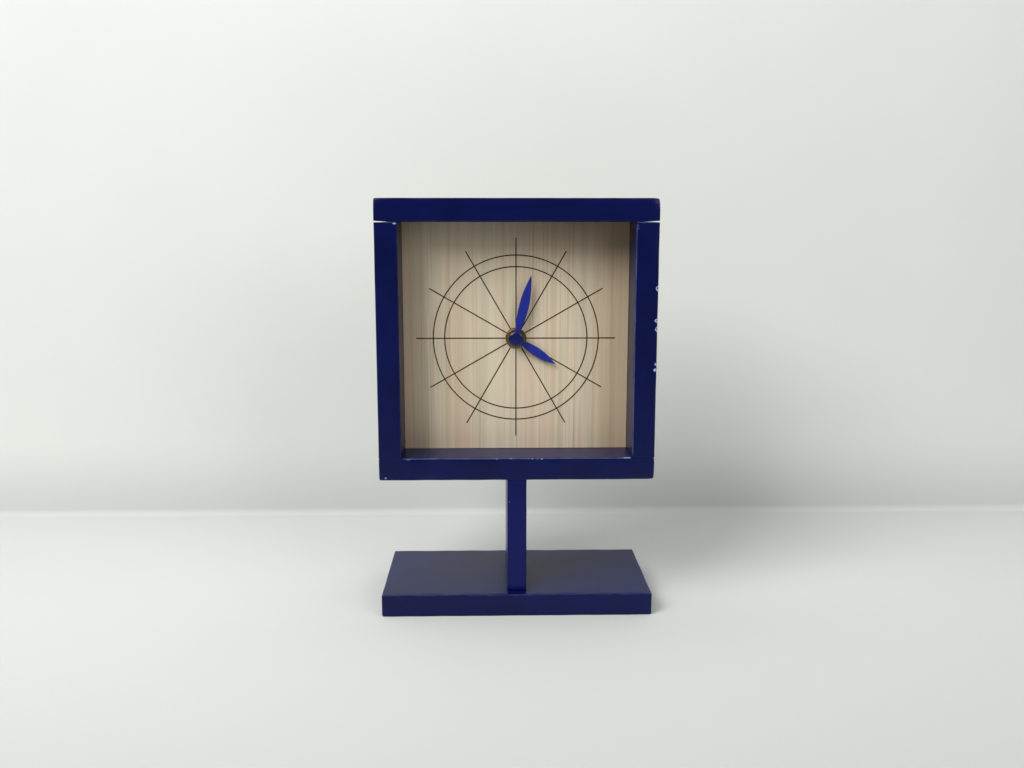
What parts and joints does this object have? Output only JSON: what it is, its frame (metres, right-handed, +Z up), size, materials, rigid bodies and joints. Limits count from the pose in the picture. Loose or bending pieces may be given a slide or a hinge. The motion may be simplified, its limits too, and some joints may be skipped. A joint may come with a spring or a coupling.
{
  "type": "desk clock",
  "caption": "Square wooden box clock on a post and base board, with a recessed wood dial, leaf hands and a battery quartz movement behind it.",
  "frame": {"origin": "middle of the base board's underside, where the clock stands", "axes": "+X to the viewer's right, +Y from the dial to the open back, +Z up"},
  "size_m": [0.1522, 0.076, 0.2302],
  "materials": {
    "navy_paint": "satin navy paint, brushed on wood",
    "dial_wood": "pale veneer, grain upright",
    "bare_wood": "bare plywood and pine",
    "ink": "printed dark brown line",
    "zinc_steel": "zinc plated",
    "rubber": "matte",
    "brass": "turned, lightly aged",
    "blue_paint": "satin blue paint",
    "arbor_steel": "turned",
    "white_plastic": "moulded",
    "magnet": "sintered",
    "copper": "enamelled wire",
    "black_plastic": "moulded, fine texture",
    "circuit": "green laminate",
    "cell_jacket": "plain satin sleeve"
  },
  "bodies": {
    "case": {"base_board": "navy_paint", "post_board": "navy_paint", "bottom_rail": "navy_paint", "top_rail": "navy_paint", "left_stile": "navy_paint", "right_stile": "navy_paint", "dial_veneer": "dial_wood", "dial_backer": "bare_wood", "dial_lines": "ink", "dial_cleats": "bare_wood", "base_screws": "zinc_steel", "post_screws": "zinc_steel", "corner_brads": "zinc_steel", "dial_gasket": "rubber", "dial_washer": "brass", "dial_nut": "brass", "shaft_bushing": "brass", "stator": "zinc_steel", "coil_core": "zinc_steel", "coil_bobbin": "white_plastic", "coil_winding": "copper", "core_screws": "zinc_steel", "movement_case": "black_plastic", "movement_cover": "black_plastic", "train_plate": "black_plastic", "circuit_board": "circuit", "quartz_crystal": "zinc_steel", "timing_chip": "black_plastic", "battery": "cell_jacket", "positive_contact": "zinc_steel", "negative_contact": "zinc_steel"},
    "minute": {"minute_arbor": "arbor_steel", "clutch_spring": "zinc_steel", "minute_hand": "blue_paint", "cap_nut": "blue_paint"},
    "hour": {"hour_wheel": "white_plastic", "hour_hand": "blue_paint"},
    "setting": {"motion_wheel": "white_plastic", "setting_knob": "black_plastic"},
    "centre": {"centre_wheel": "white_plastic"},
    "third": {"third_wheel": "white_plastic"},
    "seconds": {"seconds_wheel": "white_plastic"},
    "fifth": {"fifth_wheel": "white_plastic"},
    "rotor": {"rotor_pinion": "white_plastic", "rotor_magnet": "magnet"}
  },
  "joints": [
    {"name": "minute_turn", "type": "hinge", "parent": "case", "child": "minute", "pos_m": [0, 0, 0.1529], "axis": [0, 1, 0], "continuous": true},
    {"name": "hour_turn", "type": "hinge", "parent": "case", "child": "hour", "pos_m": [0, 0, 0.1529], "axis": [0, 1, 0], "continuous": true},
    {"name": "setting_turn", "type": "hinge", "parent": "case", "child": "setting", "pos_m": [-0.01044, 0, 0.15893], "axis": [0, 1, 0], "continuous": true},
    {"name": "rotor_turn", "type": "hinge", "parent": "case", "child": "rotor", "pos_m": [-0.00053, 0, 0.16946], "axis": [0, 1, 0], "continuous": true},
    {"name": "fifth_turn", "type": "hinge", "parent": "case", "child": "fifth", "pos_m": [0.00552, 0, 0.16925], "axis": [0, 1, 0], "continuous": true},
    {"name": "seconds_turn", "type": "hinge", "parent": "case", "child": "seconds", "pos_m": [0.01233, 0, 0.16742], "axis": [0, 1, 0], "continuous": true},
    {"name": "third_turn", "type": "hinge", "parent": "case", "child": "third", "pos_m": [0.00831, 0, 0.15987], "axis": [0, 1, 0], "continuous": true},
    {"name": "centre_turn", "type": "hinge", "parent": "case", "child": "centre", "pos_m": [0, 0, 0.1529], "axis": [0, 1, 0], "continuous": true}
  ],
  "couplings": [
    {"joint": "hour_turn", "follows": "minute_turn", "ratio": 0.083333},
    {"joint": "setting_turn", "follows": "minute_turn", "ratio": -0.33333},
    {"joint": "fifth_turn", "follows": "rotor_turn", "ratio": -0.2},
    {"joint": "seconds_turn", "follows": "rotor_turn", "ratio": 0.033333},
    {"joint": "third_turn", "follows": "rotor_turn", "ratio": -0.0044444},
    {"joint": "centre_turn", "follows": "rotor_turn", "ratio": 0.00055556}
  ]
}
